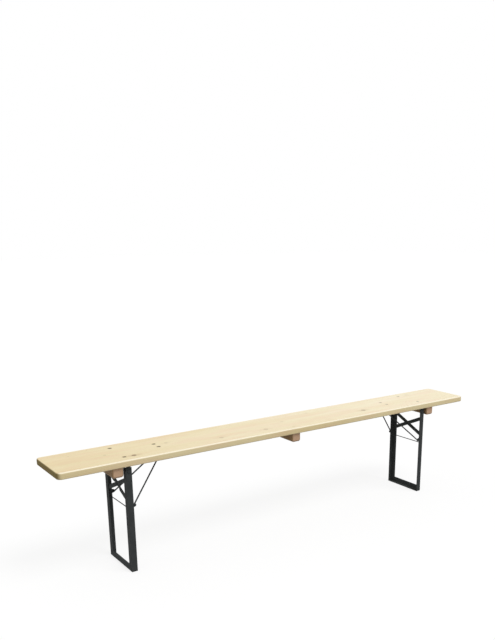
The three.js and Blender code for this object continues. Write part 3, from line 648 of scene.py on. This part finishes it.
finished_copy("seat_board", BOARD, crease=35.0)
for place in PLACES:
    finished_copy(f"batten_{place}", BATTEN, crease=32.0, reshape=chamfer_ends)
for side in SIDES:
    finished_copy(f"{side}_stay_guide", ZINC, edge=SHEET_EDGE)
    finished_copy(f"{side}_catch_leaf", SPRING, edge=STRIP_EDGE)
    for part in ("hinge_bracket", "foot_bar", "brace_flat", "brace_cranked"):
        finished_copy(f"{side}_{part}", PAINT, edge=BAR_EDGE)
    for end in ENDS:
        finished_copy(f"{side}_upright_{end}", PAINT, edge=BAR_EDGE)
        finished_copy(f"{side}_stay_lug_{end}", PAINT, edge=BAR_EDGE)
        finished_copy(f"{side}_bracket_nut_{end}", ZINC, edge=NUT_EDGE)
        finished_copy(f"{side}_guide_nut_{end}", ZINC, edge=NUT_EDGE)


# Rivets, bolts and screws

BOLT_SHANK = 6 * MM
BOLT_HEAD = 14 * MM
BOLT_HEAD_HEIGHT = 2.4 * MM
BOLT_CROWN = 0.9 * MM
BOLT_TIP = 0.8 * MM
THREAD_LENGTH = 4 * MM
THREAD_PITCH = 1 * MM
THREAD_DEPTH = 0.5 * MM
THREAD_ROWS = 10  # circles of points for each turn of the thread
RIVET_DOME = 2 / 3  # the share of a rivet's head that is its dome
RIVET_EASE = 0.3 * MM
CATCH_RIVET_HEAD = 6.5 * MM
CATCH_RIVET_HEAD_HEIGHT = 1.6 * MM
CATCH_RIVET_SHANK = 4 * MM
SCREW_POINT = 5 * MM
CROWN_POWER = 2.6
CROSS_HALF_WIDTH = 0.12  # the pressed cross, in shares of the head's radius
CROSS_SIDE = 0.06
CROSS_REACH = 0.52
CROSS_END = 0.2


def domed_rivet(node, direction, shank, head, head_height):
    """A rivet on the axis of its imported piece, with a domed head at both ends: a short upright rim with
    an eased lower corner, then a quarter ellipse."""
    place, size = middle_of(node)
    half = size[int(np.argmax(direction))] / 2
    seat = half - head_height
    rim = half - RIVET_DOME * head_height
    upper = dome(head / 2, half - rim, rim) + [
        (head / 2, seat + RIVET_EASE), (head / 2 - RIVET_EASE, seat), (shank / 2, seat)]
    profile = upper + [(radius, -height) for radius, height in upper[::-1]]
    body = body_of(frame["nodes"][node])[0]
    surface(node + "_turned", [turned(profile, place, direction)], body, PAINT, [node])


def board_bolt(node):
    """A bolt let into the board: a low crowned head, its shank, and below it the thread, a V groove that
    climbs one pitch in a turn and runs out at both ends."""
    place, size = middle_of(node)
    top, end = size[2] / 2, -size[2] / 2
    shank = BOLT_SHANK / 2
    threaded = np.arange(end + BOLT_TIP, end + THREAD_LENGTH, THREAD_PITCH / THREAD_ROWS)[::-1]
    profile = (
        dome(BOLT_HEAD / 2, BOLT_CROWN, top - BOLT_CROWN)
        + [(BOLT_HEAD / 2, top - BOLT_HEAD_HEIGHT), (shank, top - BOLT_HEAD_HEIGHT)]
        + [(shank, height) for height in threaded]
        + [(shank - BOLT_TIP, end), (0.0, end)])

    def groove(radius, height, angle):
        """The depth at a height and angle: a triangle wave of the height less the angle's share of a
        pitch; none on the axis."""
        turn = (height / THREAD_PITCH - angle / (2 * np.pi)) % 1.0
        run_in = np.clip((height - end) / THREAD_PITCH, 0, 1)
        run_out = np.clip((end + THREAD_LENGTH - height) / THREAD_PITCH, 0, 1)
        return -THREAD_DEPTH * run_in * run_out * (1 - np.abs(2 * turn - 1)) * (radius > 0)

    bolt = turned(profile, place, (0, 0, 1), columns=40, relief=groove)
    surface(node + "_turned", [bolt], "board", BOLT, [node])


def pressed_cross(radius, height_at, depth, origin, columns, rows=26):
    """The underside of a screw's head: a disc whose height at each share of its radius is given, with a
    cross pressed in. The bars of the cross are a quarter of the radius wide and reach half of it, and
    their sides and ends slope."""
    share = np.linspace(0, 1, rows)[:, None]
    angle = np.arange(columns)[None] * 2 * np.pi / columns
    x, y = share * np.cos(angle), share * np.sin(angle)
    narrow, wide = np.minimum(np.abs(x), np.abs(y)), np.maximum(np.abs(x), np.abs(y))
    within = np.clip((CROSS_HALF_WIDTH - narrow) / CROSS_SIDE + 0.5, 0, 1)
    bar = within * np.clip((CROSS_REACH - wide) / CROSS_END + 0.5, 0, 1)
    return origin + np.stack([radius * x, radius * y, height_at(share) + depth * bar], -1)


def wood_screw(node, head, head_height, shank, crown, recess, columns=64):
    """A screw driven from below: its head's face with the cross, its side, its shank and its point. A
    countersunk head has no crown and tapers; a round one bulges by its crown and has a flat seat."""
    place, size = middle_of(node)
    bottom, tip = -size[2] / 2, size[2] / 2
    seat = bottom + head_height

    def bulge(share):
        """The height of the head's face: a quarter of a superellipse."""
        return bottom + crown * (1 - np.sqrt(1 - share ** CROWN_POWER))

    rim = [(head / 2, bottom + crown)] + ([(head / 2, seat)] if crown else [])
    profile = rim + [(shank / 2, seat), (shank / 2, tip - SCREW_POINT), (0.0, tip)]
    surface(node + "_turned", [
        pressed_cross(head / 2, bulge, recess, place, columns),
        turned(profile, place, (0, 0, 1), columns),
    ], "board", ZINC, [node])


def catch_rivet(side):
    """The rivet of the catch: a low round head below the leaf and a plain shank."""
    node = f"{side}_catch_rivet"
    place, size = middle_of(node)
    bottom = -size[2] / 2
    seat = CATCH_RIVET_HEAD_HEIGHT + bottom
    shank = CATCH_RIVET_SHANK / 2
    head = [(radius, -height) for radius, height in dome(CATCH_RIVET_HEAD / 2, seat - bottom, -seat)]
    profile = head + [(shank, seat), (shank, -bottom), (0.0, -bottom)]
    surface(node + "_turned", [turned(profile, place, (0, 0, 1))], f"{side}_catch", ZINC, [node])


for side in SIDES:
    catch_rivet(side)
    domed_rivet(f"{side}_brace_rivet", (1, 0, 0), shank=6 * MM, head=11 * MM, head_height=2.5 * MM)
    wood_screw(f"{side}_guide_screw", head=9 * MM, head_height=2.8 * MM, shank=4.5 * MM,
               crown=1.3 * MM, recess=1.3 * MM)
    for end in ENDS:
        domed_rivet(f"{side}_hinge_pin_{end}", (0, 1, 0), shank=8 * MM, head=15 * MM, head_height=3.5 * MM)
        board_bolt(f"{side}_bracket_bolt_{end}")
        board_bolt(f"{side}_guide_bolt_{end}")
for place in PLACES:
    for number in (1, 2):
        wood_screw(f"batten_{place}_screw_{number}", head=10 * MM, head_height=3.2 * MM, shank=5 * MM,
                   crown=0.0, recess=1.8 * MM)


# Round wires

WIRE = 6 * MM
WIRE_START = 0.02 * MM  # the step from the upset head to the wire
HOOK_TIP = 108.3 * MM  # distances from the middle of the bench
HOOK_ARM = 97.5 * MM
HOOK_BEND = 6 * MM
HEAD = 8 * MM
HEAD_HEIGHT = 3 * MM
# From the tip on, shares of the head's width and of its height
HEAD_SHARES = [(0.0, 0.0), (0.34, 0.01), (0.47, 0.12), (0.5, 0.35), (0.5, 0.8), (0.45, 1.0)]
NOSE_X, NOSE_Z = 640 * MM, 440 * MM
NOSE_HALF = 22 * MM
NOSE_BEND = 7 * MM
TIE_WIRE = 4 * MM
TIE_STATIONS = 9


def wire_stay(side):
    """The V of round wire: from its upset head through a lug, round the hook, up the arm to the nose
    and back the same way on the other side."""
    lug_x, _, lug_z = joints[f"{side}_stay_swing"]["pos_m"]
    nose_x = SIDES[side] * NOSE_X
    half = [
        np.array([lug_x, HOOK_TIP, lug_z]),
        np.array([lug_x, HOOK_ARM, lug_z]),
        np.array([nose_x, NOSE_HALF, NOSE_Z]),
    ]
    mirrored = [corner * (1, -1, 1) for corner in half[::-1]]
    route = rounded_route(half + mirrored, [HOOK_BEND, NOSE_BEND, NOSE_BEND, HOOK_BEND])[1:-1]
    slope = np.array([nose_x - lug_x, 0.0, NOSE_Z - lug_z])
    normal = np.cross(slope, (0.0, 1.0, 0.0))
    normal /= np.linalg.norm(normal)
    outward = np.array([0.0, 1.0, 0.0])
    width, inset = np.array(HEAD_SHARES).T * [[HEAD], [HEAD_HEIGHT]]
    inset = np.append(inset, HEAD_HEIGHT + WIRE_START)
    width = np.append(width, WIRE / 2)
    start = half[0] - outward * inset[:, None]
    end = mirrored[-1] + outward * inset[::-1, None]
    path = np.vstack([start, route, end])
    radius = np.concatenate([width, np.full(len(route), WIRE / 2), width[::-1]])
    surface(f"{side}_wire_stay_round", [wire(path, radius, normal)], f"{side}_stay", PAINT,
            [f"{side}_wire_stay"])


def tie_wire(side):
    """The thin straight wire between the uprights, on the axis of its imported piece."""
    low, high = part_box(f"{side}_tie_wire")
    middle = (low + high) / 2
    same = np.ones(TIE_STATIONS)
    path = np.stack([middle.x * same, np.linspace(low.y, high.y, TIE_STATIONS), middle.z * same], -1)
    surface(f"{side}_tie_wire_round", [wire(path, TIE_WIRE / 2 * same, (1.0, 0.0, 0.0))],
            f"{side}_leg", PAINT, [f"{side}_tie_wire"])


# Weld beads

RIPPLE = 1.3 * MM
RIPPLE_SHARE = 0.1
RIPPLE_ROWS = 6
FEWEST_ROWS = 12
SEAMS = [
    # start, end and radius of the beads at the back upright of the right-hand leg, in mm
    ((803, 104.6, 3.4), (822, 104.6, 3.4), 1.5),  # across the foot
    ((822.7, 103.5, 4.5), (822.7, 85.5, 22.5), 1.0),  # up the mitre, inside
    ((825.7, 106.5, 1.5), (825.7, 83.6, 24.4), 0.75),  # up the mitre, outside
    ((812.2, 104.4, 273.5), (812.2, 104.4, 294.5), 1.3),  # along the lug
]
TIE_WELD = (813, 105, 267)  # middle of the ring round the tie wire, in mm
TIE_WELD_RADII = (1.9, 3.4)
# The crossed bars and the beads at their ends, in mm
BRACE_RISE, BRACE_SPAN, BRACE_WIDTH, BRACE_HEIGHT = 86, 192, 18, 350
BRACE_WELD_X, BRACE_WELD_OUT, BRACE_WELD_HALF, BRACE_WELD_RADIUS = 822.3, 0.4, 8.2, 1.4
BRACE_LEAN = math.atan2(BRACE_RISE, BRACE_SPAN)
BRACE_HALF = (math.hypot(BRACE_RISE, BRACE_SPAN) - BRACE_WIDTH * math.sin(BRACE_LEAN)) / 2


def bead(start, end, radius, side):
    """A cord from start to end, half sunk in the steel, that swells and shrinks a tenth of its radius
    with each ripple and closes round at both ends. The places are those of the right-hand leg, in mm."""
    start, end = (np.array(place, float) * MM * (SIDES[side], SIDES[side], 1.0) for place in (start, end))
    length = np.linalg.norm(end - start)
    along = np.linspace(0, length, max(FEWEST_ROWS, int(length / (RIPPLE / RIPPLE_ROWS))))
    tip = np.minimum(along, length - along) / (radius * MM)
    round_end = np.sqrt(1 - (1 - np.clip(tip, 0, 1)) ** 2)
    ripple = 1 + RIPPLE_SHARE * np.sin(2 * np.pi * along / RIPPLE) * np.clip(tip - 0.5, 0, 1)
    path = start + along[:, None] / length * (end - start)
    _, across, _ = frame_of(end - start)
    return wire(path, radius * MM * round_end * ripple, across, columns=12)


def ring(middle, direction, inner, outer, side):
    """A fillet of weld round a wire: a flat cone that leans on the plate, with places and radii in mm."""
    turn = (SIDES[side], SIDES[side], 1.0)
    profile = [(inner * MM, 1.3 * MM), (0.6 * (inner + outer) * MM, 1.0 * MM), (outer * MM, 0.25 * MM),
               (outer * MM, 0.0)]
    return turned(profile, np.array(middle) * MM * turn, np.array(direction) * turn, columns=24)


def weld_beads(side):
    """The beads of one leg: across the feet, up the mitres of its lower corners, along the lugs, round
    the ends of the tie wire and across the ends of the crossed bars."""
    beads = []
    reach = BRACE_HALF + BRACE_WELD_OUT
    for end in (-1.0, 1.0):
        mirror = np.array([1.0, end, 1.0])
        for start, stop, radius in SEAMS:
            beads.append(bead(start * mirror, stop * mirror, radius, side))
        beads.append(ring(TIE_WELD * mirror, (0, -end, 0), *TIE_WELD_RADII, side))
        for lean in (-1.0, 1.0):
            middle = np.array([BRACE_WELD_X, end * reach * math.cos(BRACE_LEAN),
                               BRACE_HEIGHT + lean * reach * math.sin(BRACE_LEAN)])
            half = np.array([0.0, -end * lean * math.sin(BRACE_LEAN), math.cos(BRACE_LEAN)]) * BRACE_WELD_HALF
            beads.append(bead(middle - half, middle + half, BRACE_WELD_RADIUS, side))
    surface(f"{side}_weld_beads", beads, f"{side}_leg", PAINT, crease=80.0)


for side in SIDES:
    wire_stay(side)
    tie_wire(side)
    weld_beads(side)


# The floor, the lights and the camera

AMBIENT = 0.7  # the strength of the even light
FLOOR_HALF = 30.0
FLOOR_SHADOW = 0.2  # the share of the floor's white that a shadow can take away
FLOOR_BOUNCE = 0.3
SUN_FROM = (0.12, -0.22, 0.356)  # its length is the strength
SUN_SPREAD = 28.0
WHITE = (1.0, 1.0, 1.0, 1.0)

PHOTO = (495, 640)
LENS_PIXELS = 740.86
CENTRE = (290.0, 440.0)  # the point that the camera faces, in pixels from the top left
CAMERA_AZIMUTH = -36.230
CAMERA_ELEVATION = 16.041
CAMERA_PLACE = (-1931.5 * MM, -2700.9 * MM, 1348.8 * MM)
SENSOR = 36.0


def looked_at(tree):
    """1 for what the camera, a reflection or glass looks at, and 0 for what only sheds light."""
    path = tree.add("ShaderNodeLightPath").outputs
    seen = tree.math("MAXIMUM", path["Is Camera Ray"], path["Is Glossy Ray"])
    return tree.math("MAXIMUM", seen, path["Is Transmission Ray"])


def make_floor():
    """A plain floor that is white to the eye and in reflections, where its matt share keeps a shadow,
    and a duller ground for the light that it throws back."""
    tree = material("floor")
    glow = tree.add("ShaderNodeEmission", {"Color": WHITE, "Strength": 1.0}).outputs[0]
    matt = tree.add("ShaderNodeBsdfDiffuse", {"Color": WHITE}).outputs[0]
    dull = tree.add("ShaderNodeBsdfDiffuse", {"Color": (FLOOR_BOUNCE,) * 3 + (1.0,)}).outputs[0]
    pale = tree.add("ShaderNodeMixShader", {0: FLOOR_SHADOW, 1: glow, 2: matt}).outputs[0]
    both = tree.add("ShaderNodeMixShader", {0: looked_at(tree), 1: dull, 2: pale}).outputs[0]
    tree.add("ShaderNodeOutputMaterial", {0: both})
    mesh = bpy.data.meshes.new("floor")
    corners = [(x * FLOOR_HALF, y * FLOOR_HALF, 0.0) for x, y in ((-1, -1), (1, -1), (1, 1), (-1, 1))]
    mesh.from_pydata(corners, [], [(0, 1, 2, 3)])
    mesh.materials.append(tree.owner)
    ground = bpy.data.objects.new("floor", mesh)
    bpy.context.scene.collection.objects.link(ground)


def make_world():
    """White where it is looked at, and a dim even light on the bench."""
    world = bpy.data.worlds.new("studio")
    bpy.context.scene.world = world
    tree = Nodes(world)
    strength = tree.spread(looked_at(tree), 0.0, 1.0, AMBIENT, 1.0)
    background = tree.add("ShaderNodeBackground", {"Color": WHITE, "Strength": strength}).outputs[0]
    tree.add("ShaderNodeOutputWorld", {0: background})


def make_sun():
    """One broad light from the front on the right. A plain white face square to it reads its strength
    over pi, so it adds 0.36 to the top of the board and 0.22 to its front; the even light adds the rest."""
    light = bpy.data.lights.new("key", "SUN")
    light.angle = math.radians(SUN_SPREAD)
    light.energy = math.pi * np.linalg.norm(SUN_FROM)
    sun = bpy.data.objects.new("key", light)
    bpy.context.scene.collection.objects.link(sun)
    sun.rotation_euler = Vector(SUN_FROM).to_track_quat("Z", "Y").to_euler()


def make_camera():
    """The photo's own viewpoint: its long side is the sensor's, and the shift is the way from its middle
    to the point that the camera faces."""
    data = bpy.data.cameras.new("camera")
    long_side = max(PHOTO)
    data.sensor_width = SENSOR
    data.lens = LENS_PIXELS / long_side * SENSOR
    data.shift_x = (PHOTO[0] / 2 - CENTRE[0]) / long_side
    data.shift_y = (CENTRE[1] - PHOTO[1] / 2) / long_side
    camera = bpy.data.objects.new("camera", data)
    bpy.context.scene.collection.objects.link(camera)
    camera.location = CAMERA_PLACE
    camera.rotation_euler = (math.radians(90 - CAMERA_ELEVATION), 0.0, math.radians(CAMERA_AZIMUTH))
    bpy.context.scene.camera = camera


make_camera()
make_floor()
make_world()
make_sun()
bpy.context.scene.view_settings.view_transform = "Standard"
